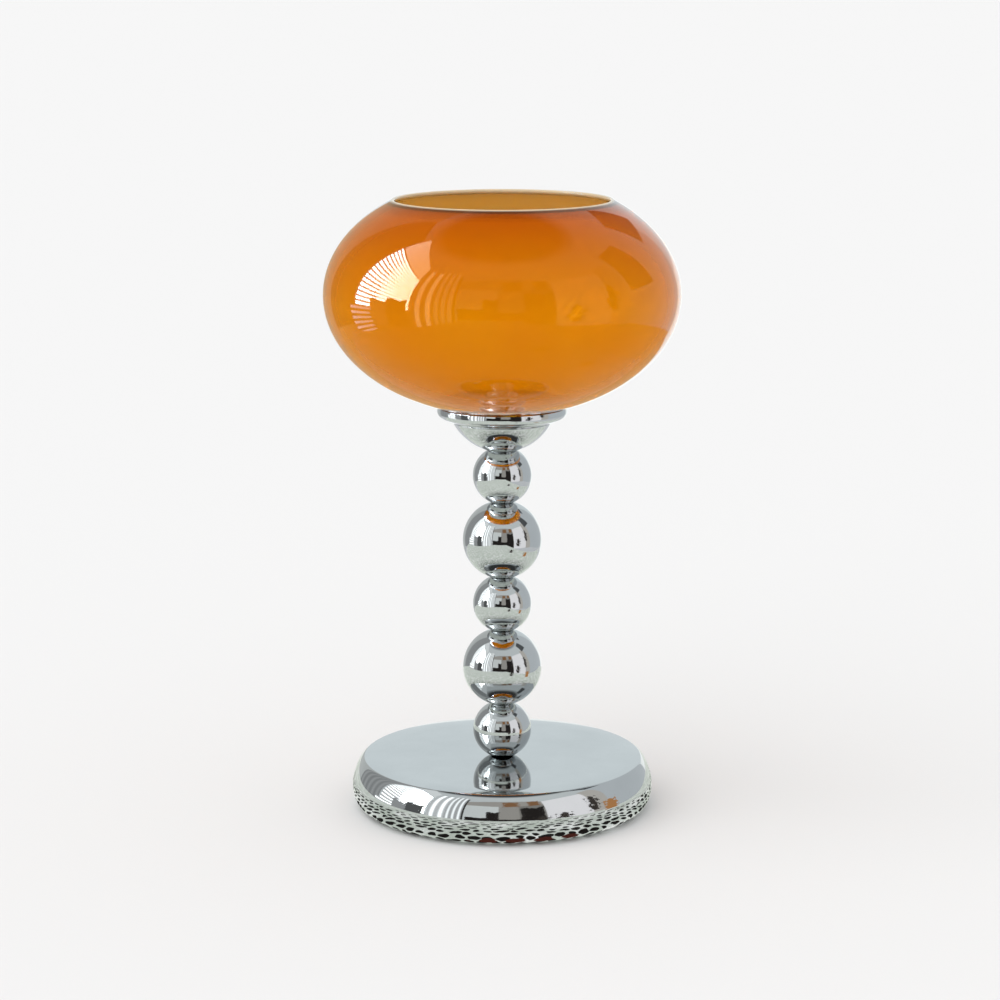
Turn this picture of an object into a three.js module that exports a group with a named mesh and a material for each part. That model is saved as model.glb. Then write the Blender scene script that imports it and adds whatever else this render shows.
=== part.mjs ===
// Tealight holder: an oblate glass bowl that stands loose in the rim of a small chromed cup, on a stem
// of chromed hollow balls. One threaded rod runs through cup, balls and base and clamps them together.
// Millimetres, +Z up. The origin is the centre of the pad's underside, on the surface it stands on.

import * as THREE from "three";

// Driving dimensions

const SHEET = 1.2; // wall of every spun or pressed steel piece
const HOLE_RADIUS = 3.3; // hole for the rod in every piece that slides over it

const PAD = { radius: 52.7, height: 1.8 };

const BASE = {
  footGap: 0.6, // the pad stands this far below the shell
  footInner: 53, // the turned-in flange under the shell
  footOuter: 55.5,
  widest: 64.4,
  widestHeight: 11.3,
  topFlat: 59.4,
  height: 21.8,
  shoulderPower: 1.4, // superellipse powers of the edge: 2 is an ellipse, less is flatter
  footPower: 3,
};

const WEIGHT = { radius: 55.2, height: 10.6, bossRadius: 18, recessRadius: 9, recessTop: 11 };

const ROD = { radius: 3, chamfer: 0.6, lowEnd: 2.4, overNut: 1.5 };
const NUT = { acrossFlats: 10, height: 5, holeRadius: 3.1 };
const WASHER = { radius: 6, height: 1.4 };
const LOCK_WASHER = { innerRadius: 3.2, outerRadius: 5.4, height: 1.5, gapAngle: 0.22 };
const CUP_WASHER = { radius: 5.5, height: 1.2 };

const SMALL_BALL = 12.5;
const LARGE_BALL = 16.8;
const SEAT_RADIUS = 4.6; // flat ring ground where two balls meet
const CUP_SEAT_RADIUS = 6.1;
const STEM_BALLS = [
  ["small_ball_lower", SMALL_BALL],
  ["large_ball_lower", LARGE_BALL],
  ["small_ball_middle", SMALL_BALL],
  ["large_ball_upper", LARGE_BALL],
  ["small_ball_upper", SMALL_BALL],
];

const CUP = { radius: 23.5, mouthRadius: 21 };
const RIM = { footRadius: 19.7, coneAngle: 0.42, cornerRadius: 2.6, outerRadius: 27.5, height: 6.5 };

const BOWL = {
  radius: 75,
  halfHeight: 50.5,
  mouthRadius: 46.2,
  wall: 1.8,
  floorRadius: 20, // flat floor inside, where the tealight stands
  seatGap: 0.05,
};

// Facets round the axis

const WIDE_FACETS = 48; // base and bowl
const CUP_FACETS = 36;
const NARROW_FACETS = 24; // stem and fasteners

// Materials

const CHROME = { color: 0xd3d9dc, roughness: 0.04, metalness: 1 };
const ZINC = { color: 0xb9bbb6, roughness: 0.4, metalness: 1 };
const IRON = { color: 0x3c3d3f, roughness: 0.8, metalness: 0.6 };
const FOAM = { color: 0x1d1d1f, roughness: 0.95, metalness: 0 };
const AMBER_GLASS = {
  color: 0xd9820f,
  roughness: 0.03,
  metalness: 0,
  transparent: true,
  opacity: 0.75,
};

// Outlines: lists of (distance from the axis, height), outer side upwards

const at = (radius, height) => new THREE.Vector2(radius, height);

// Height of a sphere's surface above its centre, at a distance from the axis.
const rise = (sphereRadius, radius) => Math.sqrt(sphereRadius ** 2 - radius ** 2);

// Points of an ellipse or circle, between two angles from the radial direction.
function arc(centre, radialAxis, verticalAxis, from, to, steps) {
  return Array.from({ length: steps + 1 }, (_, i) => {
    const angle = from + ((to - from) * i) / steps;
    return at(
      centre.x + radialAxis * Math.cos(angle),
      centre.y + verticalAxis * Math.sin(angle),
    );
  });
}

// One quarter of a superellipse, from its widest point to its highest or lowest.
function quarter(centre, radialAxis, verticalAxis, power, steps) {
  return Array.from({ length: steps + 1 }, (_, i) => {
    const angle = (Math.PI / 2) * (i / steps);
    return at(
      centre.x + radialAxis * Math.cos(angle) ** (2 / power),
      centre.y + verticalAxis * Math.sin(angle) ** (2 / power),
    );
  });
}

// The same outline moved square to itself, to the inside of the sheet.
function inset(outline, distance) {
  return outline.map((point, i) => {
    const before = outline[Math.max(i - 1, 0)];
    const after = outline[Math.min(i + 1, outline.length - 1)];
    const along = after.clone().sub(before).normalize();
    return at(point.x - along.y * distance, point.y + along.x * distance);
  });
}

// Solids

function mesh(name, geometry, look) {
  const made = new THREE.Mesh(geometry, new THREE.MeshStandardMaterial(look));
  made.name = name;
  return made;
}

// A solid of revolution about Z from an outline that starts and ends on the axis.
function turned(name, outline, look, facets) {
  const geometry = new THREE.LatheGeometry(outline, facets).rotateX(Math.PI / 2);
  return mesh(name, geometry, look);
}

// A solid of revolution about Z from an outline that closes on itself.
function turnedRing(name, outline, look, facets) {
  return turned(name, [...outline, outline[0]], look, facets);
}

function flatRing(name, inner, outer, height, look) {
  const outline = [at(inner, 0), at(outer, 0), at(outer, height), at(inner, height)];
  return turnedRing(name, outline, look, NARROW_FACETS);
}

function placed(piece, height) {
  piece.position.z = height;
  return piece;
}

// Base

// The round edge of the base, from its turned-in foot up to the flat top.
function baseEdge() {
  const waist = BASE.widestHeight;
  const foot = quarter(
    at(BASE.footOuter, waist),
    BASE.widest - BASE.footOuter,
    BASE.footGap - waist,
    BASE.footPower,
    5,
  );
  const shoulder = quarter(
    at(BASE.topFlat, waist),
    BASE.widest - BASE.topFlat,
    BASE.height - waist,
    BASE.shoulderPower,
    5,
  );
  return [...foot.reverse(), ...shoulder.slice(1)];
}

function baseShell() {
  const outer = [
    at(BASE.footInner, BASE.footGap),
    ...baseEdge(),
    at(HOLE_RADIUS, BASE.height),
  ];
  const outline = [...outer, ...inset(outer, SHEET).reverse()];
  return turnedRing("base_shell", outline, CHROME, WIDE_FACETS);
}

// A cast disc with a boss that carries the clamping load, and a recess below for the nut.
function baseWeight() {
  const low = PAD.height;
  const shoulder = low + WEIGHT.height;
  const bossTop = BASE.height - SHEET;
  const outline = [
    at(WEIGHT.recessRadius, low),
    at(WEIGHT.radius, low),
    at(WEIGHT.radius, shoulder),
    at(WEIGHT.bossRadius, shoulder),
    at(WEIGHT.bossRadius, bossTop),
    at(HOLE_RADIUS, bossTop),
    at(HOLE_RADIUS, WEIGHT.recessTop),
    at(WEIGHT.recessRadius, WEIGHT.recessTop),
  ];
  return turnedRing("base_weight", outline, IRON, WIDE_FACETS);
}

function basePad() {
  const outline = [at(0, 0), at(PAD.radius, 0), at(PAD.radius, PAD.height), at(0, PAD.height)];
  return turned("base_pad", outline, FOAM, WIDE_FACETS);
}

// Fasteners

function hexNut(name) {
  const cornerRadius = NUT.acrossFlats / Math.sqrt(3);
  const corners = Array.from({ length: 6 }, (_, i) => {
    const angle = (i * Math.PI) / 3;
    return at(cornerRadius * Math.cos(angle), cornerRadius * Math.sin(angle));
  });
  const hexagon = new THREE.Shape(corners);
  hexagon.holes.push(new THREE.Path().absarc(0, 0, NUT.holeRadius, 0, 2 * Math.PI, true));
  const geometry = new THREE.ExtrudeGeometry(hexagon, {
    depth: NUT.height,
    bevelEnabled: false,
    curveSegments: NARROW_FACETS,
  });
  return mesh(name, geometry, ZINC);
}

// A spring washer, split by a gap and pressed flat by its nut.
function lockWasher(name) {
  const { innerRadius, outerRadius, height, gapAngle } = LOCK_WASHER;
  const from = gapAngle / 2;
  const to = 2 * Math.PI - gapAngle / 2;
  const ring = new THREE.Shape();
  ring.absarc(0, 0, outerRadius, from, to, false);
  ring.absarc(0, 0, innerRadius, to, from, true);
  const geometry = new THREE.ExtrudeGeometry(ring, {
    depth: height,
    bevelEnabled: false,
    curveSegments: NARROW_FACETS / 2,
  });
  return mesh(name, geometry, ZINC);
}

function stemRod(highEnd) {
  const { radius, chamfer, lowEnd } = ROD;
  const outline = [
    at(0, lowEnd),
    at(radius - chamfer, lowEnd),
    at(radius, lowEnd + chamfer),
    at(radius, highEnd - chamfer),
    at(radius - chamfer, highEnd),
    at(0, highEnd),
  ];
  return turned("stem_rod", outline, ZINC, NARROW_FACETS);
}

// Washer, spring washer and nut hang below the weight, in its recess.
function baseFasteners() {
  const washerLow = WEIGHT.recessTop - WASHER.height;
  const lockLow = washerLow - LOCK_WASHER.height;
  return [
    placed(flatRing("base_washer", HOLE_RADIUS, WASHER.radius, WASHER.height, ZINC), washerLow),
    placed(lockWasher("base_lock_washer"), lockLow),
    placed(hexNut("base_nut"), lockLow - NUT.height),
  ];
}

// Stem

// A hollow ball about its own centre, ground flat where it meets its neighbours.
function hollowBall(name, radius, lowSeat, highSeat) {
  const centre = at(0, 0);
  const inner = radius - SHEET;
  const outerFrom = -Math.acos(lowSeat / radius);
  const outerTo = Math.acos(highSeat / radius);
  const innerEnd = Math.acos(HOLE_RADIUS / inner);
  const outline = [
    at(HOLE_RADIUS, -rise(radius, lowSeat)),
    ...arc(centre, radius, radius, outerFrom, 0, 4),
    ...arc(centre, radius, radius, 0, outerTo, 4).slice(1),
    at(HOLE_RADIUS, rise(radius, highSeat)),
    ...arc(centre, inner, inner, innerEnd, -innerEnd, 6),
  ];
  return turnedRing(name, outline, CHROME, NARROW_FACETS);
}

// The balls stand on each other from the base upwards. Returns them and the height they end at.
function stemBalls() {
  let height = BASE.height;
  const balls = STEM_BALLS.map(([name, radius], i) => {
    const isLast = i === STEM_BALLS.length - 1;
    const highSeat = isLast ? CUP_SEAT_RADIUS : SEAT_RADIUS;
    const centre = height + rise(radius, SEAT_RADIUS);
    height = centre + rise(radius, highSeat);
    return placed(hollowBall(name, radius, SEAT_RADIUS, highSeat), centre);
  });
  return { balls, top: height };
}

// Cup

const CUP_CENTRE_RISE = rise(CUP.radius, CUP_SEAT_RADIUS); // the bowl-shaped body's own centre
const CUP_HEIGHT = CUP_CENTRE_RISE - rise(CUP.radius, CUP.mouthRadius);

// The lower part of a hollow sphere, from its flat seat up to its mouth.
function cupBody() {
  const centre = at(0, CUP_CENTRE_RISE);
  const inner = CUP.radius - SHEET;
  const innerFloor = Math.asin((SHEET - CUP_CENTRE_RISE) / inner);
  const innerMouth = Math.asin((CUP_HEIGHT - CUP_CENTRE_RISE) / inner);
  const outerFrom = -Math.acos(CUP_SEAT_RADIUS / CUP.radius);
  const outerTo = -Math.acos(CUP.mouthRadius / CUP.radius);
  const outline = [
    at(HOLE_RADIUS, 0),
    ...arc(centre, CUP.radius, CUP.radius, outerFrom, outerTo, 6),
    ...arc(centre, inner, inner, innerMouth, innerFloor, 6),
    at(HOLE_RADIUS, SHEET),
  ];
  return turnedRing("cup_body", outline, CHROME, CUP_FACETS);
}

// A flared ring brazed on the cup's mouth: a cone that turns upright at its lip.
function cupRim() {
  const { footRadius, coneAngle, cornerRadius, outerRadius, height } = RIM;
  const coneRun =
    outerRadius - CUP.mouthRadius - cornerRadius * (1 - Math.sin(coneAngle));
  const corner = at(
    outerRadius - cornerRadius,
    coneRun * Math.tan(coneAngle) + cornerRadius * Math.cos(coneAngle),
  );
  const outer = [
    at(footRadius, 0),
    at(CUP.mouthRadius, 0),
    ...arc(corner, cornerRadius, cornerRadius, coneAngle - Math.PI / 2, 0, 5),
    at(outerRadius, height),
  ];
  const outline = [...outer, ...inset(outer, SHEET).reverse()];
  return turnedRing("cup_rim", outline, CHROME, CUP_FACETS);
}

// Bowl

// An oblate bowl about its own centre, with an even wall, a rounded lip and a flat floor inside.
function glassBowl() {
  const { radius, halfHeight, mouthRadius, wall, floorRadius } = BOWL;
  const mouthAngle = Math.acos(mouthRadius / radius);
  const centre = at(0, 0);
  const outer = [
    ...arc(centre, radius, halfHeight, -Math.PI / 2, 0, 10),
    ...arc(centre, radius, halfHeight, 0, mouthAngle, 6).slice(1),
  ];
  const inner = inset(outer, wall).filter((point) => point.x > floorRadius);
  const floor = bowlFloor();
  const lipOut = outer.at(-1);
  const lipIn = inner.at(-1);
  const lipCentre = lipOut.clone().add(lipIn).divideScalar(2);
  const lean = Math.atan2(lipOut.y - lipIn.y, lipOut.x - lipIn.x);
  const lip = arc(lipCentre, wall / 2, wall / 2, lean, lean + Math.PI, 4);
  const outline = [
    ...outer,
    ...lip.slice(1, -1),
    ...inner.reverse(),
    at(floorRadius, floor),
    at(0, floor),
  ];
  outline[0].x = 0; // exactly on the axis
  return turned("glass_bowl", outline, AMBER_GLASS, WIDE_FACETS);
}

// Height of the flat floor: where the inside of the wall reaches the floor's edge.
function bowlFloor() {
  const { radius, halfHeight, wall, floorRadius } = BOWL;
  const across = Math.sqrt(1 - (floorRadius / (radius - wall)) ** 2);
  return -(halfHeight - wall) * across;
}

// Height of the bowl's centre above the lip that it stands on, where it touches the lip's inner edge.
function bowlRise() {
  const touching = (RIM.outerRadius - SHEET) / BOWL.radius;
  return BOWL.seatGap + BOWL.halfHeight * Math.sqrt(1 - touching ** 2);
}

// The whole holder

const { balls, top: cupLow } = stemBalls();
const rimLow = cupLow + CUP_HEIGHT;
const lipHeight = rimLow + RIM.height;
const cupWasherLow = cupLow + SHEET;
const cupNutLow = cupWasherLow + CUP_WASHER.height;
const rodHighEnd = cupNutLow + NUT.height + ROD.overNut;
const cupWasher = flatRing(
  "cup_washer",
  HOLE_RADIUS,
  CUP_WASHER.radius,
  CUP_WASHER.height,
  ZINC,
);

const holder = new THREE.Group();
holder.add(
  basePad(),
  baseShell(),
  baseWeight(),
  ...baseFasteners(),
  stemRod(rodHighEnd),
  ...balls,
  placed(cupBody(), cupLow),
  placed(cupRim(), rimLow),
  placed(cupWasher, cupWasherLow),
  placed(hexNut("cup_nut"), cupNutLow),
  placed(glassBowl(), lipHeight + bowlRise()),
);

export default holder;
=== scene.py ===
"""Looks for the tealight holder: chromed base, ball stem and cup, amber glass bowl. Metres, +Z up."""

import math

import bpy
import numpy as np
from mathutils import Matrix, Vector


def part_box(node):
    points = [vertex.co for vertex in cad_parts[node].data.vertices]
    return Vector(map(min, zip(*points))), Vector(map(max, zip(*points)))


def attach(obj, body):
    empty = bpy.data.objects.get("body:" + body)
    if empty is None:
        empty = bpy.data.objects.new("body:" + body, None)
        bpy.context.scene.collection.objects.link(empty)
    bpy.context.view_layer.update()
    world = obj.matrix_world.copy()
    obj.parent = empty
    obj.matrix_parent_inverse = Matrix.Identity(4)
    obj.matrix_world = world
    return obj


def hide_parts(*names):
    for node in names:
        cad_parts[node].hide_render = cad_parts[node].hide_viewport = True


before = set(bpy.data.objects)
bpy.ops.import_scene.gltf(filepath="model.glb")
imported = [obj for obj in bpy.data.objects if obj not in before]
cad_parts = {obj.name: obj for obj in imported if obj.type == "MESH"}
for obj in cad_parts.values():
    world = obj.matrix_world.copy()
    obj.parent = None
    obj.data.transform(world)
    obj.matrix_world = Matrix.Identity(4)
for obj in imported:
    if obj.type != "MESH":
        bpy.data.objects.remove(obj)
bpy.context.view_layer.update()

MM = 0.001

# Shape, in millimetres unless it says otherwise

SHEET = 1.2  # wall of the spun and pressed steel pieces
HOLE_RADIUS = 3.3
SEAT_RADIUS = 4.6  # flat ring where two balls meet
CUP_SEAT_RADIUS = 6.1
BASE_WAIST = 11.3  # height of the base's widest ring
BASE_TOP_FLAT = 59.4
BASE_TOP_RINGS = (50.0, 36.0, 22.0, 12.0, 7.0)  # mesh rings on the flat top
BASE_FOOT_INNER = 53.0
BASE_FOOT_OUTER = 55.5
BASE_SHOULDER_POWER = 1.4
BASE_FOOT_POWER = 3.0
CUP_MOUTH_RADIUS = 21.0
CUP_RADIUS = 23.5
RIM_CONE_ANGLE = 0.42  # radians
RIM_CORNER = 2.6
RIM_CROWN = 9.0  # radius of the slight inward curve above the corner
RIM_FOOT = 19.7
BOWL_HALF_HEIGHT = 50.5
BOWL_MOUTH = 46.2
BOWL_WALL = 1.8
BOWL_FLOOR = 20.0
BOWL_FLOOR_RING = 10.0
BOWL_FLOOR_SINK = 0.1  # the flat floor lies this much below the wall's inner end
ROD_PITCH = 1.0
ROD_CHAMFER = 0.6
THREAD_DEPTH = 0.55
THREAD_LENGTH = 14.0
NUT_FLATS = 10.0
NUT_BORE = 3.1
NUT_SINK = 0.4
NUT_CROWN = 0.95  # of the flats' width; the chamfer takes the rest
LOCK_BORE = 3.2
LOCK_GAP = 0.22  # radians
WEIGHT_SHOULDER = 12.4
WEIGHT_BOSS = 18.0
WEIGHT_RECESS = 9.0
WEIGHT_RECESS_TOP = 11.0
WEIGHT_DRAFT = 0.4
BOSS_DRAFT = 0.3
RECESS_DRAFT = 0.2

# Edge radii, in millimetres

BASE_EDGE = 0.3
PAD_EDGE = 0.35
BALL_EDGE = 0.15
WASHER_EDGE = 0.25
LOCK_EDGE = 0.2
WEIGHT_EDGE = 0.8
CUP_EDGE = 0.15
RIM_EDGE = 0.35
BOWL_EDGE = 1.0

# Amber coat, in metres: above the bowl's foot, or below its mouth

COAT_PALE = 0.050  # above the foot; up to here the coat is pale
COAT_DENSE = 0.004
COAT_BROWN = (0.0045, 0.0014)  # from here to there the coat turns brown, and then nearly black
COAT_BLACK = (0.0015, 0.0011)

# Camera: distance in front of the stem, height, pitch and lens

CAMERA_PLACE = (-0.98, -1235.4, 379.5)
CAMERA_PITCH = 11.25  # degrees below the horizon
CAMERA_LENS = 106.88
SENSOR = 36.0

# Key light: strength, and spread and tilt in degrees

KEY_STRENGTH = 1.05
KEY_SPREAD = 70
KEY_TILT = (24, -38, 0)

# The room that the chrome and the glass mirror, in metres and degrees

EYE_HEIGHT = 0.10  # from which the cards of the room are laid out
WINDOW_FACING = -118
WINDOW_DISTANCE = 1.9
WINDOW_SILL = 0.10
WINDOW_HEAD = 2.40
ROOM_SIZE = 30.0
ROOM_FLOOR = -0.7
WALL_DISTANCE = 2.5
FURNITURE_DISTANCE = 2.2
CEILING_EDGE = (0.85, 0.92)  # height on the sky's unit sphere where the wall turns into the ceiling
CLOTH_ACROSS = (-0.5, 0.245)
CLOTH_ALONG = (-1.2, 0.23)
LACE_RING = 0.0062  # width of a ring of holes
LACE_HOLES = 62  # in a ring
LACE_LARGE_HOLES = 32
LACE_LARGE_RADIUS = 0.0625
LACE_LARGE_WIDTH = 0.008
WAVE_BANDS = 3.2  # stripes that a wave texture of scale 1 puts across a card

ROUND = 256  # steps round the base, cup and bowl
STEM_ROUND = 160


# ---------------------------------------------------------------- outlines


def arc(centre, axes, start, stop, steps):
    """Points of an ellipse in the (radius, height) plane, between two angles from the radial axis."""
    return [
        (centre[0] + axes[0] * math.cos(a), centre[1] + axes[1] * math.sin(a))
        for a in np.linspace(start, stop, steps + 1)
    ]


def quarter(centre, axes, power, steps):
    """A quarter of a superellipse, from its widest point to its highest or lowest."""
    angles = np.linspace(0, math.pi / 2, steps + 1)
    return [
        (
            centre[0] + axes[0] * max(0.0, math.cos(a)) ** (2 / power),
            centre[1] + axes[1] * math.sin(a) ** (2 / power),
        )
        for a in angles
    ]


def inset(outline, distance):
    """The same outline moved square to itself, to its left."""
    moved = []
    for i, (r, z) in enumerate(outline):
        before = outline[max(i - 1, 0)]
        after = outline[min(i + 1, len(outline) - 1)]
        dr, dz = after[0] - before[0], after[1] - before[1]
        length = math.hypot(dr, dz)
        moved.append((r - dz / length * distance, z + dr / length * distance))
    return moved


def softened(outline, radius, steps=5, closed=True):
    """Rounds every corner sharper than 25 degrees with a fillet, as polishing and plating do."""
    count = len(outline)
    result = []
    for i, point in enumerate(outline):
        if not closed and i in (0, count - 1):
            result.append(point)
            continue
        p = np.array(point)
        back = np.array(outline[i - 1]) - p
        forward = np.array(outline[(i + 1) % count]) - p
        reach_back, reach_forward = np.linalg.norm(back), np.linalg.norm(forward)
        if reach_back < 1e-6 or reach_forward < 1e-6:
            continue
        back, forward = back / reach_back, forward / reach_forward
        opening = math.acos(max(-1.0, min(1.0, float(back @ forward))))
        if opening > math.radians(155):
            result.append(point)
            continue
        cut = min(radius / math.tan(opening / 2), reach_back * 0.45, reach_forward * 0.45)
        a, b = p + back * cut, p + forward * cut
        for t in np.linspace(0, 1, steps + 1):
            corner = (1 - t) ** 2 * a + 2 * t * (1 - t) * p + t**2 * b
            result.append((float(corner[0]), float(corner[1])))
    return result


# ---------------------------------------------------------------- meshes


def mesh_object(name, points, faces, sharp=35):
    data = bpy.data.meshes.new(name)
    data.from_pydata([[c * MM for c in p] for p in points], [], faces)
    data.validate()
    data.shade_smooth()
    data.set_sharp_from_angle(angle=math.radians(sharp))
    piece = bpy.data.objects.new(name, data)
    bpy.context.scene.collection.objects.link(piece)
    return piece


def turned(name, outline, steps=ROUND, sharp=35):
    """A closed solid of revolution about Z. The outline closes on itself, or starts and ends on the axis;
    it may be a function that gives the outline at an angle, for a solid that isn't quite round."""
    turns = [2 * math.pi * i / steps for i in range(steps)]
    outlines = [outline(a) if callable(outline) else outline for a in turns]
    points, rings = [], []
    for k, (first, height) in enumerate(outlines[0]):
        if first < 1e-6:
            rings.append([len(points)])
            points.append((0.0, 0.0, height))
            continue
        rings.append(list(range(len(points), len(points) + steps)))
        for a, shape in zip(turns, outlines):
            r, z = shape[k]
            points.append((r * math.cos(a), r * math.sin(a), z))
    pairs = list(zip(rings, rings[1:]))
    if len(rings[0]) > 1:
        pairs.append((rings[-1], rings[0]))
    faces = []
    for low, high in pairs:
        for i in range(steps):
            j = (i + 1) % steps
            if len(low) == 1 and len(high) == 1:
                break
            if len(low) == 1:
                faces.append((low[0], high[j], high[i]))
            elif len(high) == 1:
                faces.append((low[i], low[j], high[0]))
            else:
                faces.append((low[i], low[j], high[j], high[i]))
    return mesh_object(name, points, faces, sharp)


def swept(name, outline, start, stop, steps=96, sharp=35):
    """Part of a ring about Z, between two angles, capped at both ends."""
    count = len(outline)
    points = []
    for a in np.linspace(start, stop, steps + 1):
        points += [(r * math.cos(a), r * math.sin(a), z) for r, z in outline]
    faces = [tuple(range(count)), tuple(range(steps * count, (steps + 1) * count))[::-1]]
    for i in range(steps):
        for k in range(count):
            m = (k + 1) % count
            here, there = i * count, (i + 1) * count
            faces.append((here + k, there + k, there + m, here + m))
    return mesh_object(name, points, faces, sharp)


def stands_for(piece, node, body, material):
    """The piece takes the CAD node's place, rides on its body and wears the material."""
    piece.data.materials.clear()
    piece.data.materials.append(material)
    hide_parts(node)
    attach(piece, body)


def levels(node):
    """Lowest and highest height of a CAD node and its radius, in millimetres."""
    low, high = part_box(node)
    return low.z / MM, high.z / MM, high.x / MM


# ---------------------------------------------------------------- node helpers


class Nodes:
    """Short calls for adding nodes to a tree and linking them."""

    def __init__(self, tree):
        self.tree = tree

    def feed(self, socket, value):
        """Links the socket to another one, or sets its value."""
        if isinstance(value, bpy.types.NodeSocket):
            self.tree.links.new(value, socket)
        else:
            socket.default_value = value

    def add(self, kind, inputs=None, **settings):
        node = self.tree.nodes.new(kind)
        for key, value in settings.items():
            setattr(node, key, value)
        for key, value in (inputs or {}).items():
            self.feed(node.inputs[key], value)
        return node

    def math(self, operation, a, b=0.0):
        return self.add("ShaderNodeMath", {0: a, 1: b}, operation=operation).outputs[0]

    def ramp(self, value, low, high, to_low, to_high):
        ends = {"From Min": low, "From Max": high, "To Min": to_low, "To Max": to_high}
        return self.add("ShaderNodeMapRange", {"Value": value, **ends}).outputs["Result"]

    def mix(self, factor, a, b):
        """Colour a where the factor is 0 and b where it is 1."""
        node = self.add("ShaderNodeMix", data_type="RGBA")
        for key, value in (("Factor", factor), ("A", a), ("B", b)):
            socket = next(
                s for s in node.inputs if s.name == key and s.enabled and not s.is_unavailable
            )
            self.feed(socket, value)
        return next(s for s in node.outputs if s.enabled and s.type == "RGBA")

    def blend(self, factor, a, b):
        """Shader a where the factor is 0 and b where it is 1."""
        return self.add("ShaderNodeMixShader", {0: factor, 1: a, 2: b}).outputs[0]


class Shader(Nodes):
    """A material with a Principled shader, and patterns in the piece's own frame."""

    def __init__(self, name):
        self.material = bpy.data.materials.new(name)
        self.material.use_nodes = True
        super().__init__(self.material.node_tree)
        self.main = self.tree.nodes["Principled BSDF"]

    def set(self, **values):
        """Sets or links the main shader's sockets; underscores in the names stand for spaces."""
        for key, value in values.items():
            self.feed(self.main.inputs[key.replace("_", " ")], value)

    def place(self):
        return self.add("ShaderNodeTexCoord").outputs["Object"]

    def noise(self, scale, detail=4.0, roughness=0.5, vector=None):
        inputs = {"Vector": vector or self.place(), "Scale": scale}
        inputs.update({"Detail": detail, "Roughness": roughness})
        return self.add("ShaderNodeTexNoise", inputs).outputs["Fac"]

    def bump(self, height, strength, distance):
        inputs = {"Height": height, "Strength": strength, "Distance": distance}
        return self.add("ShaderNodeBump", inputs).outputs["Normal"]


# ---------------------------------------------------------------- materials


def chrome(name, haze=0.06):
    """Mirror chrome plate: faint polishing haze and fine wiping scratches."""
    s = Shader(name)
    cloud = s.noise(38, detail=6, roughness=0.6)
    stretched = s.add(
        "ShaderNodeMapping", {"Vector": s.place(), "Scale": (900, 60, 60), "Rotation": (0, 0, 0.6)}
    )
    scratch = s.noise(1.0, detail=2, vector=stretched.outputs["Vector"])
    fine = s.ramp(scratch, 0.62, 0.72, 0.0, 1.0)
    rough = s.math("ADD", s.ramp(cloud, 0.35, 0.75, 0.03, haze), s.math("MULTIPLY", fine, 0.04))
    tint = s.mix(s.ramp(cloud, 0.3, 0.7, 0, 1), (0.56, 0.58, 0.585, 1), (0.61, 0.63, 0.635, 1))
    s.set(
        Base_Color=tint,
        Metallic=1.0,
        Roughness=rough,
        Normal=s.bump(s.noise(22, detail=1), 0.03, 0.002),
    )
    return s.material


def amber_glass(name):
    """Clear glass with an amber coat on its outside, denser towards the mouth; the lip is bare."""
    s = Shader(name)
    cloud = s.noise(14, detail=3, roughness=0.5)
    height = s.add("ShaderNodeSeparateXYZ", {"Vector": s.place()}).outputs["Z"]
    low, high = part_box("glass_bowl")
    pale, dense = (0.94, 0.313, 0.001, 1), (0.62, 0.100, 0.001, 1)
    light = s.mix(s.ramp(cloud, 0.35, 0.65, 0, 1), (0.89, 0.262, 0.001, 1), pale)
    brown, black = (0.30, 0.045, 0.002, 1), (0.10, 0.022, 0.003, 1)
    coat = s.mix(s.ramp(height, low.z + COAT_PALE, high.z - COAT_DENSE, 0.0, 0.85), light, dense)
    start, stop = (high.z - depth for depth in COAT_BROWN)
    coat = s.mix(s.ramp(height, start, stop, 0.0, 0.7), coat, brown)
    start, stop = (high.z - depth for depth in COAT_BLACK)
    coat = s.mix(s.ramp(height, start, stop, 0.0, 1.0), coat, black)
    outside = s.add("ShaderNodeAttribute", attribute_name="coat").outputs["Fac"]
    lip = s.add("ShaderNodeAttribute", attribute_name="lip").outputs["Fac"]
    coated = s.math("ADD", outside, s.math("MULTIPLY", lip, 2))
    bare = s.mix(lip, (1.0, 0.98, 0.93, 1), (0.97, 0.82, 0.56, 1))
    s.set(
        Base_Color=s.mix(outside, bare, coat),
        Roughness=s.ramp(lip, 0, 1, 0.0, 0.3),
        IOR=1.48,
        Specular_Tint=(1.0, 0.56, 0.15, 1),
        Coat_Weight=1.0,
        Coat_IOR=1.15,
        Coat_Roughness=0.0,
        Transmission_Weight=s.ramp(coated, 0, 2, 0.80, 0.35),
        Normal=s.bump(s.noise(16, detail=1), 0.05, 0.002),
    )
    return s.material


def zinc(name):
    """Bright zinc plating with a fine crystalline mottle."""
    s = Shader(name)
    spangle = s.noise(900, detail=3)
    s.set(
        Base_Color=s.mix(spangle, (0.55, 0.56, 0.53, 1), (0.74, 0.74, 0.70, 1)),
        Metallic=1.0,
        Roughness=s.ramp(spangle, 0.3, 0.7, 0.24, 0.42),
        Normal=s.bump(spangle, 0.15, 0.0002),
    )
    return s.material


def iron(name):
    """Raw grey casting."""
    s = Shader(name)
    grain = s.noise(700, detail=6, roughness=0.7)
    s.set(
        Base_Color=s.mix(grain, (0.035, 0.035, 0.038, 1), (0.09, 0.085, 0.08, 1)),
        Metallic=0.6,
        Roughness=s.ramp(grain, 0.3, 0.7, 0.55, 0.85),
        Normal=s.bump(grain, 0.6, 0.0004),
    )
    return s.material


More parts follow.
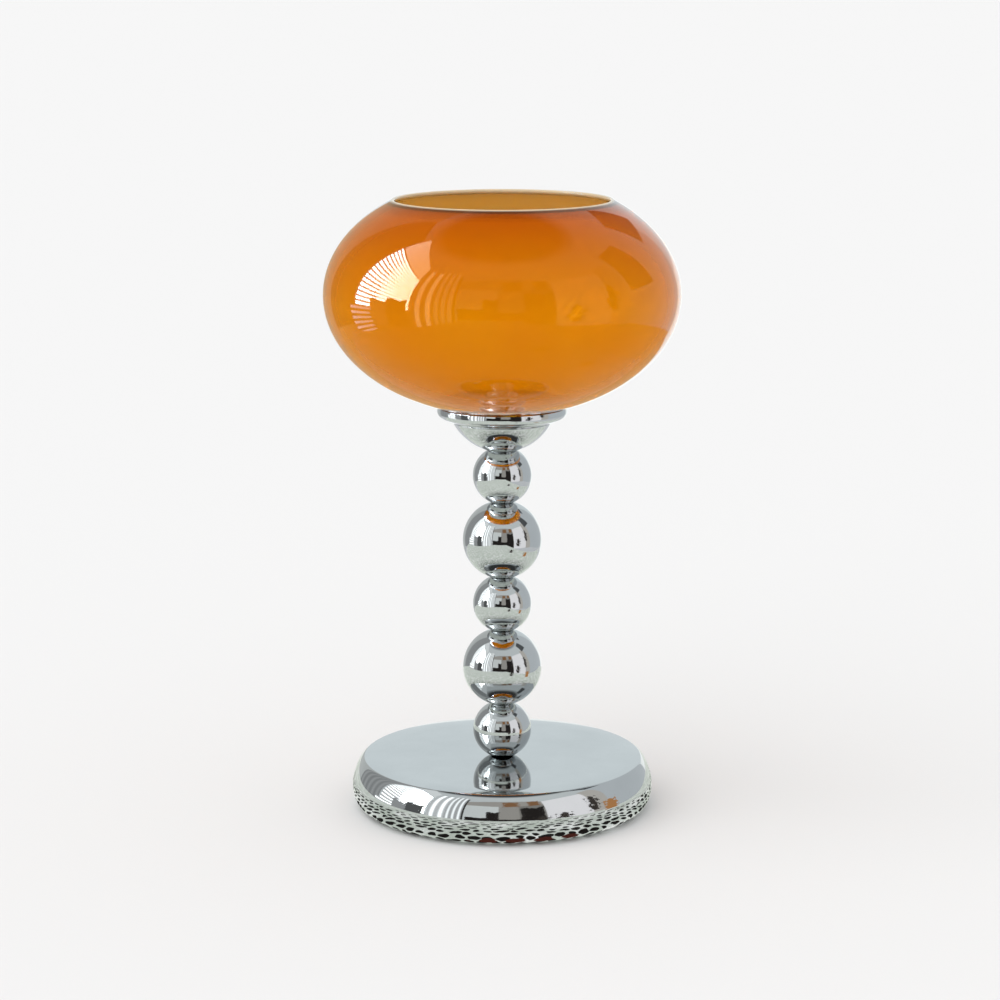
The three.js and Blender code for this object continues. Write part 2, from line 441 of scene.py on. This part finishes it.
def foam(name):
    """Closed-cell foam with a fine open skin."""
    s = Shader(name)
    cells = s.add(
        "ShaderNodeTexVoronoi", {"Vector": s.place(), "Scale": 1800.0, "Randomness": 1.0}
    ).outputs["Distance"]
    s.set(
        Base_Color=s.mix(cells, (0.010, 0.010, 0.011, 1), (0.032, 0.032, 0.034, 1)),
        Roughness=s.ramp(cells, 0.0, 0.8, 0.96, 0.8),
        Normal=s.bump(cells, 0.5, 0.0003),
    )
    return s.material


# ---------------------------------------------------------------- base


def base_edge(widest, top, foot_gap, top_flat, foot_outer):
    foot = quarter(
        (foot_outer, BASE_WAIST), (widest - foot_outer, foot_gap - BASE_WAIST), BASE_FOOT_POWER, 40
    )
    shoulder = quarter(
        (top_flat, BASE_WAIST), (widest - top_flat, top - BASE_WAIST), BASE_SHOULDER_POWER, 48
    )
    return foot[::-1] + shoulder[1:]


def build_base(look):
    foot_gap, top, widest = levels("base_shell")
    outer = [(BASE_FOOT_INNER, foot_gap)]
    outer += base_edge(widest, top, foot_gap, BASE_TOP_FLAT, BASE_FOOT_OUTER)
    outer += [(r, top) for r in (*BASE_TOP_RINGS, HOLE_RADIUS)]
    outline = outer + inset(outer, SHEET)[::-1]
    shell = turned("base_shell_polished", softened(outline, BASE_EDGE))
    stands_for(shell, "base_shell", "stand", look["chrome_base"])

    low, high, radius = levels("base_pad")
    outline = [(0, low), (radius, low), (radius, high), (0, high)]
    pad = turned("base_pad_foam", softened(outline, PAD_EDGE, closed=False))
    stands_for(pad, "base_pad", "stand", look["foam"])


# ---------------------------------------------------------------- stem


def build_ball(node, low_seat, high_seat, look):
    low, high, radius = levels(node)
    centre = low + math.sqrt(radius**2 - low_seat**2)
    inner = radius - SHEET
    inner_end = math.acos(HOLE_RADIUS / inner)
    outline = [(HOLE_RADIUS, low)]
    outline += arc(
        (0, centre),
        (radius, radius),
        -math.acos(low_seat / radius),
        math.acos(high_seat / radius),
        96,
    )
    outline += [(HOLE_RADIUS, high)]
    outline += arc((0, centre), (inner, inner), inner_end, -inner_end, 40)
    ball = turned(node + "_polished", softened(outline, BALL_EDGE), STEM_ROUND)
    stands_for(ball, node, "stand", look["chrome"])


def build_stem(look):
    for node in ("small_ball_lower", "large_ball_lower", "small_ball_middle", "large_ball_upper"):
        build_ball(node, SEAT_RADIUS, SEAT_RADIUS, look)
    build_ball("small_ball_upper", SEAT_RADIUS, CUP_SEAT_RADIUS, look)


# ---------------------------------------------------------------- rod, fasteners and weight


def build_rod(look):
    """The tie rod: plain in the balls, with a rolled thread at both ends."""
    low, high, radius = levels("stem_rod")
    steps = int(THREAD_LENGTH / ROD_PITCH * 8)
    lower = np.linspace(low, low + THREAD_LENGTH, steps)
    heights = [*lower, *(high + low - lower[::-1])]

    def outline(angle):
        shape = [(0.0, low)]
        for z in heights:
            end = min(z - low, high - z)
            run_out = min(1.0, max(0.0, (THREAD_LENGTH - end) / ROD_PITCH))
            turn = (z / ROD_PITCH - angle / (2 * math.pi)) % 1.0
            groove = THREAD_DEPTH * run_out * (1 - abs(2 * turn - 1))
            shape.append((min(radius - groove, radius - ROD_CHAMFER + end), z))
        return shape + [(0.0, high)]

    rod = turned("stem_rod_threaded", outline, 48, sharp=50)
    stands_for(rod, "stem_rod", "stand", look["zinc"])


def build_nut(node, look):
    """A hexagon nut with chamfered corners and a countersunk bore."""
    low, high, _ = levels(node)
    crown = NUT_FLATS / 2 * NUT_CROWN

    def outline(angle):
        reach = NUT_FLATS / 2 / math.cos(math.radians(math.degrees(angle) % 60 - 30))
        drop = (reach - crown) * math.tan(math.radians(30))
        return [
            (NUT_BORE + NUT_SINK, low),
            (crown, low),
            (reach, low + drop),
            (reach, high - drop),
            (crown, high),
            (NUT_BORE + NUT_SINK, high),
            (NUT_BORE, high - NUT_SINK),
            (NUT_BORE, low + NUT_SINK),
        ]

    nut = turned(node + "_chamfered", outline, 96, sharp=25)
    stands_for(nut, node, "stand", look["zinc"])


def build_washer(node, look):
    low, high, radius = levels(node)
    edges = [(HOLE_RADIUS, low), (radius, low), (radius, high), (HOLE_RADIUS, high)]
    washer = turned(node + "_stamped", softened(edges, WASHER_EDGE), STEM_ROUND)
    stands_for(washer, node, "stand", look["zinc"])


def build_lock_washer(look):
    low, high, radius = levels("base_lock_washer")
    edges = [(LOCK_BORE, low), (radius, low), (radius, high), (LOCK_BORE, high)]
    half_gap = LOCK_GAP / 2
    edges = softened(edges, LOCK_EDGE)
    washer = swept("base_lock_washer_split", edges, half_gap, 2 * math.pi - half_gap)
    stands_for(washer, "base_lock_washer", "stand", look["zinc"])


def build_weight(look):
    """The cast weight, with rounded edges and a little draft on its sides."""
    low, high, radius = levels("base_weight")
    outline = [
        (WEIGHT_RECESS, low),
        (radius, low),
        (radius - WEIGHT_DRAFT, WEIGHT_SHOULDER),
        (WEIGHT_BOSS + BOSS_DRAFT, WEIGHT_SHOULDER),
        (WEIGHT_BOSS - BOSS_DRAFT, high),
        (HOLE_RADIUS, high),
        (HOLE_RADIUS, WEIGHT_RECESS_TOP),
        (WEIGHT_RECESS - RECESS_DRAFT, WEIGHT_RECESS_TOP),
    ]
    weight = turned("base_weight_cast", softened(outline, WEIGHT_EDGE), STEM_ROUND)
    stands_for(weight, "base_weight", "stand", look["iron"])


def build_hardware(look):
    build_rod(look)
    for node in ("base_nut", "cup_nut"):
        build_nut(node, look)
    for node in ("base_washer", "cup_washer"):
        build_washer(node, look)
    build_lock_washer(look)
    build_weight(look)


# ---------------------------------------------------------------- cup


def build_cup(look):
    low, high, _ = levels("cup_body")
    centre = low + math.sqrt(CUP_RADIUS**2 - CUP_SEAT_RADIUS**2)
    inner = CUP_RADIUS - SHEET
    outline = [(HOLE_RADIUS, low)]
    outline += arc(
        (0, centre),
        (CUP_RADIUS, CUP_RADIUS),
        -math.acos(CUP_SEAT_RADIUS / CUP_RADIUS),
        -math.acos(CUP_MOUTH_RADIUS / CUP_RADIUS),
        48,
    )
    outline += arc(
        (0, centre),
        (inner, inner),
        math.asin((high - centre) / inner),
        math.asin((low + SHEET - centre) / inner),
        48,
    )
    outline += [(HOLE_RADIUS, low + SHEET)]
    body = turned("cup_body_polished", softened(outline, CUP_EDGE))
    stands_for(body, "cup_body", "stand", look["chrome"])

    low, high, radius = levels("cup_rim")
    run = radius - CUP_MOUTH_RADIUS - RIM_CORNER * (1 - math.sin(RIM_CONE_ANGLE))
    corner = (
        radius - RIM_CORNER,
        low + run * math.tan(RIM_CONE_ANGLE) + RIM_CORNER * math.cos(RIM_CONE_ANGLE),
    )
    outer = [(RIM_FOOT, low), (CUP_MOUTH_RADIUS, low)]
    outer += arc(corner, (RIM_CORNER, RIM_CORNER), RIM_CONE_ANGLE - math.pi / 2, 0, 20)
    crown = math.asin((high - corner[1]) / RIM_CROWN)
    outer += arc((radius - RIM_CROWN, corner[1]), (RIM_CROWN, RIM_CROWN), 0, crown, 8)[1:]
    outline = outer + inset(outer, SHEET)[::-1]
    rim = turned("cup_rim_polished", softened(outline, RIM_EDGE))
    stands_for(rim, "cup_rim", "stand", look["chrome"])


# ---------------------------------------------------------------- bowl


def build_bowl(look):
    low, _, radius = levels("glass_bowl")
    centre = (0, low + BOWL_HALF_HEIGHT)
    mouth = math.acos(BOWL_MOUTH / radius)
    outer = arc(centre, (radius, BOWL_HALF_HEIGHT), -math.pi / 2, mouth, 160)
    outer[0] = (0.0, low)
    inner = [p for p in inset(outer, BOWL_WALL) if p[0] > BOWL_FLOOR]
    floor = inner[0][1] - BOWL_FLOOR_SINK
    lip_out, lip_in = np.array(outer[-1]), np.array(inner[-1])
    lip_centre = (lip_out + lip_in) / 2
    lean = math.atan2(*(lip_out - lip_in)[::-1])
    lip = arc(lip_centre, (BOWL_WALL / 2,) * 2, lean, lean + math.pi, 16)
    outline = outer + lip[1:-1] + inner[::-1]
    outline += [(r, floor) for r in (BOWL_FLOOR, BOWL_FLOOR_RING, 0.0)]
    bowl = turned("glass_bowl_blown", softened(outline, BOWL_EDGE, closed=False))
    coated = len(outer) - 1
    lipped = coated + len(lip) - 1
    for name, first, last in (("coat", 0, coated), ("lip", coated, lipped)):
        marks = bowl.data.attributes.new(name, "FLOAT", "POINT")
        inside = range(max(0, 1 + (first - 1) * ROUND), 1 + (last - 1) * ROUND)
        for index in inside:
            marks.data[index].value = 1.0
    stands_for(bowl, "glass_bowl", "bowl", look["glass"])


# ---------------------------------------------------------------- stage


def only_in_reflections(piece, through_glass=False):
    piece.visible_camera = False
    piece.visible_diffuse = False
    piece.visible_transmission = through_glass
    piece.visible_volume_scatter = False
    piece.visible_shadow = False


def mirrored(nodes, through_glass=1.0):
    """1 on a light path that a mirror or glass face has reflected, 0 on one seen straight or scattered;
    through_glass instead where the reflection is itself seen through glass."""
    path = nodes.add("ShaderNodeLightPath").outputs
    reflected = nodes.math("GREATER_THAN", path["Glossy Depth"], 0.5)
    clean = nodes.math("LESS_THAN", path["Diffuse Depth"], 0.5)
    both = nodes.math("MULTIPLY", reflected, clean)
    if through_glass == 1.0:
        return both
    return nodes.math("MULTIPLY", both, nodes.ramp(path["Is Transmission Ray"], 0, 1, 1, through_glass))


def quad(name, corners, material):
    data = bpy.data.meshes.new(name)
    data.from_pydata(corners, [], [(0, 1, 2, 3)])
    layer = data.uv_layers.new(name="UVMap")
    for index, uv in enumerate(((0, 0), (1, 0), (1, 1), (0, 1))):
        layer.data[index].uv = uv
    data.materials.append(material)
    piece = bpy.data.objects.new(name, data)
    bpy.context.scene.collection.objects.link(piece)
    return piece


def rectangle(across, along, height):
    """Corners of a level rectangle."""
    (left, right), (front, back) = across, along
    return [(x, y, height) for x, y in ((left, front), (right, front), (right, back), (left, back))]


def card(name, facing, distance, across, heights, material):
    """An upright card seen only in reflections. Its plane is at that distance from the stem, square
    to the azimuth it faces (0 in front, 90 at the right); across and heights are its extents on it."""
    a = math.radians(facing)
    out = np.array((math.sin(a), -math.cos(a), 0.0)) * distance
    along = np.array((math.cos(a), math.sin(a), 0.0))
    corners = [
        tuple(out + along * u + np.array((0, 0, z)))
        for u, z in (
            (across[0], heights[0]),
            (across[1], heights[0]),
            (across[1], heights[1]),
            (across[0], heights[1]),
        )
    ]
    only_in_reflections(quad(name, corners, material), through_glass=True)


def shine(nodes, colour, strength, bands=0, axis="X", dip=0.0, sharp=(0.3, 0.7), wobble=0.0):
    """An even glow, or one that bands dim in stripes across (X) or up (Y) the card, as blinds and
    folds do."""
    level = strength
    if bands:
        inputs = {"Vector": nodes.add("ShaderNodeUVMap").outputs["UV"], "Scale": bands / WAVE_BANDS}
        inputs.update({"Distortion": wobble, "Detail Scale": 1.0})
        wave = nodes.add("ShaderNodeTexWave", inputs, bands_direction=axis)
        level = nodes.ramp(wave.outputs["Fac"], *sharp, strength * (1 - dip), strength)
    return nodes.add("ShaderNodeEmission", {"Color": (*colour, 1), "Strength": level}).outputs[0]


def bitten(nodes, ragged):
    """1 on a card and 0 where noise eats into its sides and top."""
    uv = nodes.add("ShaderNodeUVMap").outputs["UV"]
    place = nodes.add("ShaderNodeSeparateXYZ", {"Vector": uv}).outputs
    side = nodes.math("MINIMUM", place["X"], nodes.math("SUBTRACT", 1.0, place["X"]))
    edge = nodes.math("MINIMUM", side, nodes.math("SUBTRACT", 1.0, place["Y"]))
    noise = nodes.add("ShaderNodeTexNoise", {"Vector": uv, "Scale": 5.0, "Detail": 3.0})
    depth = nodes.math("MULTIPLY", nodes.math("SUBTRACT", noise.outputs["Fac"], 0.3), ragged)
    return nodes.math("GREATER_THAN", edge, depth)


def glow(name, colour, strength, ragged=0.0, through_glass=1.0, in_chrome=None, **stripes):
    """A glowing card face. The glass mirrors little, so a window that looks right on it is too bright
    for chrome: in_chrome is the look of the card there. The glass is perfectly sharp and the chrome
    isn't, which tells the two reflections apart."""
    material = bpy.data.materials.new(name)
    material.use_nodes = True
    material.node_tree.nodes.clear()
    nodes = Nodes(material.node_tree)
    light = shine(nodes, colour, strength, **stripes)
    if in_chrome:
        in_glass = nodes.add("ShaderNodeLightPath").outputs["Is Singular Ray"]
        light = nodes.blend(in_glass, shine(nodes, **in_chrome), light)
    shown = mirrored(nodes, through_glass)
    if ragged:
        shown = nodes.math("MULTIPLY", shown, bitten(nodes, ragged))
    clear = nodes.add("ShaderNodeBsdfTransparent").outputs[0]
    nodes.add("ShaderNodeOutputMaterial", {"Surface": nodes.blend(shown, clear, light)})
    return material


def sector(name, azimuths, elevations, material, distance=FURNITURE_DISTANCE):
    """A card over a span of azimuth and of elevation, in degrees, as seen from the middle of the stem."""
    half = distance * math.tan(math.radians((azimuths[1] - azimuths[0]) / 2))
    heights = [EYE_HEIGHT + distance * math.tan(math.radians(e)) for e in elevations]
    card(name, sum(azimuths) / 2, distance, (-half, half), heights, material)


def window_card(name, across, heights, material):
    card(name, WINDOW_FACING, WINDOW_DISTANCE, across, heights, material)


def build_window():
    """A window at the left with a slatted blind, and curtains and a chair beside it."""
    white = (0.85, 1.1, 1.65)  # looks white on the amber glass
    neutral = (0.96, 0.99, 1.0)
    warm = (1.0, 0.62, 0.3)
    pane = {"axis": "Y", "through_glass": 0.2}
    chrome_slats = {"colour": neutral, "strength": 4.0, "bands": 16, "axis": "Y"}
    chrome_slats.update(dip=0.82, sharp=(0.6, 1.0))
    chrome_pane = {**chrome_slats, "strength": 16.0, "dip": 0.93}
    heights = (WINDOW_SILL, WINDOW_HEAD)

    look = {"bands": 17, "dip": 0.95, "sharp": (0.15, 0.45), "in_chrome": chrome_slats, **pane}
    window_card("window_left", (0.44, 1.2), heights, glow("window_slats", white, 26.0, **look))
    look = {"bands": 17, "dip": 0.85, "sharp": (0.0, 0.3), "in_chrome": chrome_pane, **pane}
    window_card("window", (1.2, 2.95), heights, glow("window_glow", white, 26.0, **look))
    look = {"bands": 6, "dip": 0.95, "in_chrome": {**chrome_slats, "bands": 6}, **pane}
    low = glow("window_low_glow", white, 2.6, **look)
    window_card("window_low", (0.25, 1.0), (-0.75, WINDOW_SILL), low)
    look = {"through_glass": 0.2, "in_chrome": {"colour": neutral, "strength": 1.0}}
    blind = glow("blind_glow", (0.95, 1.0, 1.1), 6.0, **look)
    window_card("blind", (0.44, 2.95), (2.46, 3.8), blind)

    folded = {"bands": 5, "dip": 0.3, "sharp": (0.0, 1.0), "wobble": 2.0}
    chrome_pleats = {"colour": neutral, "strength": 0.46, **folded}
    pleats = glow("pleat_glow", warm, 0.34, in_chrome=chrome_pleats, **folded)
    sector("pleats", (-140, -107), (-16, 60), pleats, 2.1)
    chair = glow("chair_shade", neutral, 0.13, ragged=0.25)
    sector("chair", (-78, -61), (-16, 14), chair, 1.6)
    cushion = glow("cushion_shade", neutral, 0.42, ragged=0.35)
    sector("cushion", (-92, -73), (-16, 11), cushion, 1.7)

    chrome_folds = {"colour": neutral, "dip": 0.66, "sharp": (0.35, 0.95)}
    look = {"bands": 2, "dip": 0.9, "sharp": (0.4, 0.7), "wobble": 0.7}
    look["in_chrome"] = {**chrome_folds, "strength": 2.2, "bands": 2, "wobble": 0.7}
    curtain = glow("curtain_glow", (0.95, 1.0, 1.05), 4.0, **look)
    sector("curtain", (-58, -44), (-20, 45), curtain, 2.0)
    look = {"bands": 3, "dip": 0.75, "sharp": (0.2, 0.5), "wobble": 1.2}
    look["in_chrome"] = {**chrome_folds, "strength": 1.7, "bands": 3, "wobble": 1.2}
    folds = glow("fold_glow", (0.97, 1.0, 0.98), 1.6, **look)
    sector("folds", (-44, -31), (-20, 47), folds, 2.0)


def build_room():
    """The rest of what the chrome and the glass mirror: walls, furniture, lights, and a few props."""
    pale, grey, warm = (0.96, 1.0, 0.99), (0.91, 0.97, 1.01), (1.0, 0.95, 0.88)
    dark = {"colour": (1.0, 0.85, 0.8), "strength": 0.025, "ragged": 0.3}
    spots = {"colour": (1.0, 0.85, 0.75), "strength": 0.06, "ragged": 1.3}

    sector("frame", (-31, -29.5), (-16, 44), glow("frame_shade", warm, 0.05), 1.95)
    sector("left_wall", (-29.5, -3), (-16, 31), glow("left_wall_glow", pale, 0.85), WALL_DISTANCE)
    sector("pillar", (-3, 13), (-16, 31), glow("pillar_glow", warm, 0.42), WALL_DISTANCE)
    sector("niche", (13, 34), (-16, 31), glow("niche_glow", warm, 0.30), WALL_DISTANCE)
    sector("frieze", (-30, 34), (31, 43), glow("frieze_glow", warm, 0.46), WALL_DISTANCE)
    sector("right_wall", (34, 72), (-16, 39), glow("right_wall_glow", (1.0, 0.98, 1.0), 1.1), WALL_DISTANCE)
    sector("right_corner", (72, 88), (-16, 42), glow("corner_glow", warm, 0.62), WALL_DISTANCE)
    sector("backdrop", (88, 150), (-40, 62), glow("backdrop_glow", grey, 0.68), WALL_DISTANCE)
    sector("back_wall", (150, 190), (5, 42), glow("back_wall_glow", (0.89, 0.97, 1.0), 0.89), WALL_DISTANCE)
    sector("back_light", (150, 186), (-45, 5), glow("back_light_glow", pale, 1.15), WALL_DISTANCE)
    chrome_back = {"colour": pale, "strength": 0.62}
    back_left = glow("back_left_glow", (1.0, 0.76, 0.5), 0.58, in_chrome=chrome_back)
    sector("back_left", (-170, -140), (-45, 60), back_left, 2.4)

    sector("cabinet", (-29, -10), (-8, 8), glow("cabinet_shade", **dark))
    sector("armchair", (-13, -2), (-8, 21), glow("armchair_shade", **dark))
    sector("table_edge", (-4, 16), (-8, 4), glow("table_shade", **dark))
    sector("doorway", (13, 34), (-12, 28), glow("doorway_shade", **dark))
    sector("stool", (37, 57), (-10, 14), glow("stool_shade", **spots))
    amber = {"colour": (1.0, 0.52, 0.26), "strength": 0.3, "ragged": 0.8}
    sector("garland", (-2, 16), (30, 42), glow("garland_shade", **amber))
    sector("garland_end", (20, 33), (30, 42), glow("garland_end_shade", **amber))
    sector("plant", (66, 82), (0, 30), glow("plant_shade", **spots))

    prop = glow("wood", (1.0, 0.47, 0.18), 0.58, ragged=0.9)
    card("wood_prop", 74, 0.16, (-0.022, 0.022), (0.0, 0.046), prop)
    card("dark_prop", 26, 0.23, (-0.035, 0.035), (0.0, 0.05), glow("dark_prop_shade", **spots))
    shade = glow("panel_shade", grey, 0.12)
    card("panel", 92, 0.27, (-0.055, 0.055), (0.277, 0.49), shade)
    card("small_panel", 136, 0.27, (-0.045, 0.045), (0.36, 0.50), shade)


def lace_look():
    """A crocheted mat on a brown table: rings of uneven holes about the stem, larger by its foot. It glows
    with painted light, and the glass shows it with painted shade.
    """
    s = Shader("lace")
    place = s.add("ShaderNodeSeparateXYZ", {"Vector": s.place()})
    x, y = place.outputs["X"], place.outputs["Y"]
    radius = s.math("POWER", s.math("ADD", s.math("MULTIPLY", x, x), s.math("MULTIPLY", y, y)), 0.5)
    turn = s.math("ARCTAN2", y, x)
    stray = s.math("MULTIPLY", s.math("SUBTRACT", s.noise(75, detail=2), 0.5), 1.5)
    ring = s.math("ADD", s.math("DIVIDE", radius, LACE_RING), stray)
    row = s.math("FLOOR", ring)
    cell = s.math("MULTIPLY", turn, LACE_HOLES / (2 * math.pi))
    cell = s.math("ADD", cell, s.math("MULTIPLY", row, 0.5))
    cell = s.math("ADD", cell, stray)
    across = s.math("SUBTRACT", s.math("FRACT", cell), 0.5)
    along = s.math("SUBTRACT", s.math("FRACT", ring), 0.5)
    size = s.math("ADD", s.math("MULTIPLY", across, across), s.math("MULTIPLY", along, along))
    uneven = s.ramp(s.noise(120, detail=2), 0.35, 0.65, -0.09, 0.09)
    uneven = s.math("ADD", uneven, s.ramp(radius, 0.066, 0.100, -0.03, 0.04))
    hole = s.ramp(s.math("ADD", size, uneven), 0.105, 0.135, 1.0, 0.0)
    hole = s.math("MULTIPLY", hole, s.ramp(radius, 0.090, 0.130, 1.0, 0.0))

    wide = s.math("FRACT", s.math("MULTIPLY", turn, LACE_LARGE_HOLES / (2 * math.pi)))
    wide = s.math("SUBTRACT", wide, 0.5)
    deep = s.math("DIVIDE", s.math("SUBTRACT", radius, LACE_LARGE_RADIUS), LACE_LARGE_WIDTH)
    reach = s.math("ADD", s.math("MULTIPLY", wide, wide), s.math("MULTIPLY", deep, deep))
    front = s.math("MULTIPLY", s.ramp(x, -0.016, -0.013, 0, 1), s.ramp(x, 0.034, 0.037, 1, 0))
    front = s.math("MULTIPLY", front, s.math("LESS_THAN", y, 0.0))
    ragged = s.math("ADD", reach, s.ramp(s.noise(260, detail=2), 0.3, 0.7, -0.05, 0.05))
    large = s.math("MULTIPLY", s.ramp(ragged, 0.10, 0.14, 1.0, 0.0), front)

    worked = s.add("ShaderNodeTexVoronoi", {"Vector": s.place(), "Scale": 70.0}).outputs["Distance"]
    weave = s.math("MULTIPLY", s.noise(900, detail=3), s.ramp(worked, 0.0, 0.7, 1.0, 0.5))
    stain = s.ramp(s.noise(34, detail=4), 0.42, 0.58, 0, 1)
    blotch = s.mix(stain, (0.74, 0.79, 0.72, 1), (1.0, 1.0, 0.98, 1))
    thread = s.mix(s.ramp(weave, 0.15, 0.5, 0, 1), (0.50, 0.55, 0.48, 1), blotch)
    colour = s.mix(hole, thread, (0.008, 0.005, 0.004, 1))
    colour = s.mix(large, colour, (0.075, 0.012, 0.006, 1))
    # Painted shade: on the glass's sharp rays the mat is drawn 70% of the way to a dark brown.
    in_glass = s.math("MULTIPLY", s.add("ShaderNodeLightPath").outputs["Is Singular Ray"], 0.7)
    colour = s.mix(in_glass, colour, (0.42, 0.24, 0.10, 1))
    # Painted light: the mat glows with its own colour at strength 0.48, standing in for lamp light falling
    # on it.
    s.set(Base_Color=colour, Roughness=0.9, Emission_Color=colour, Emission_Strength=0.48)
    return s.material


def build_stage():
    plain = Shader("floor")
    plain.set(Base_Color=(0.80, 0.80, 0.80, 1), Roughness=0.95, Specular_IOR_Level=0.0)
    far = (-ROOM_SIZE, ROOM_SIZE)
    floor = quad("floor", rectangle(far, far, 0.0), plain.material)
    floor.visible_glossy = False

    # The mat is seen only in reflections, and glows with painted light.
    cloth = quad("cloth", rectangle(CLOTH_ACROSS, CLOTH_ALONG, 0.0), lace_look())
    only_in_reflections(cloth)
    chrome_floor = {"colour": (0.95, 0.97, 1.0), "strength": 0.78}
    shade = glow("room_floor_shade", (1.0, 0.68, 0.36), 0.66, in_chrome=chrome_floor)
    ground = quad("room_floor", rectangle(far, far, ROOM_FLOOR), shade)
    only_in_reflections(ground)
    build_window()
    build_room()

    world = bpy.data.worlds.new("room")
    bpy.context.scene.world = world
    world.use_nodes = True
    nodes = Nodes(world.node_tree)
    direction = nodes.add("ShaderNodeTexCoord").outputs["Generated"]
    up = nodes.add("ShaderNodeSeparateXYZ", {"Vector": direction}).outputs["Z"]
    wall, ceiling = (0.72, 0.76, 0.77, 1), (0.07, 0.07, 0.07, 1)
    room = nodes.mix(nodes.ramp(up, *CEILING_EDGE, 0.0, 1.0), wall, ceiling)
    colour = nodes.mix(mirrored(nodes), (0.92, 0.92, 0.92, 1), room)
    nodes.feed(world.node_tree.nodes["Background"].inputs["Color"], colour)

    data = bpy.data.lights.new("key", "SUN")
    data.energy = KEY_STRENGTH
    data.angle = math.radians(KEY_SPREAD)
    key = bpy.data.objects.new("key", data)
    key.rotation_euler = [math.radians(a) for a in KEY_TILT]
    key.visible_glossy = False
    bpy.context.scene.collection.objects.link(key)


def build_camera():
    data = bpy.data.cameras.new("camera")
    data.lens = CAMERA_LENS
    data.sensor_width = SENSOR
    camera = bpy.data.objects.new("camera", data)
    camera.location = [c * MM for c in CAMERA_PLACE]
    camera.rotation_euler = (math.radians(90 - CAMERA_PITCH), 0, 0)
    bpy.context.scene.collection.objects.link(camera)
    bpy.context.scene.camera = camera


def main():
    bpy.context.scene.view_settings.view_transform = "Standard"
    build_camera()
    look = {
        "chrome": chrome("chrome_plate"),
        "chrome_base": chrome("chrome_plate_base", haze=0.08),
        "glass": amber_glass("amber_glass"),
        "zinc": zinc("zinc_plate"),
        "iron": iron("cast_iron"),
        "foam": foam("foam_pad"),
    }
    build_base(look)
    build_stem(look)
    build_hardware(look)
    build_cup(look)
    build_bowl(look)
    build_stage()


main()
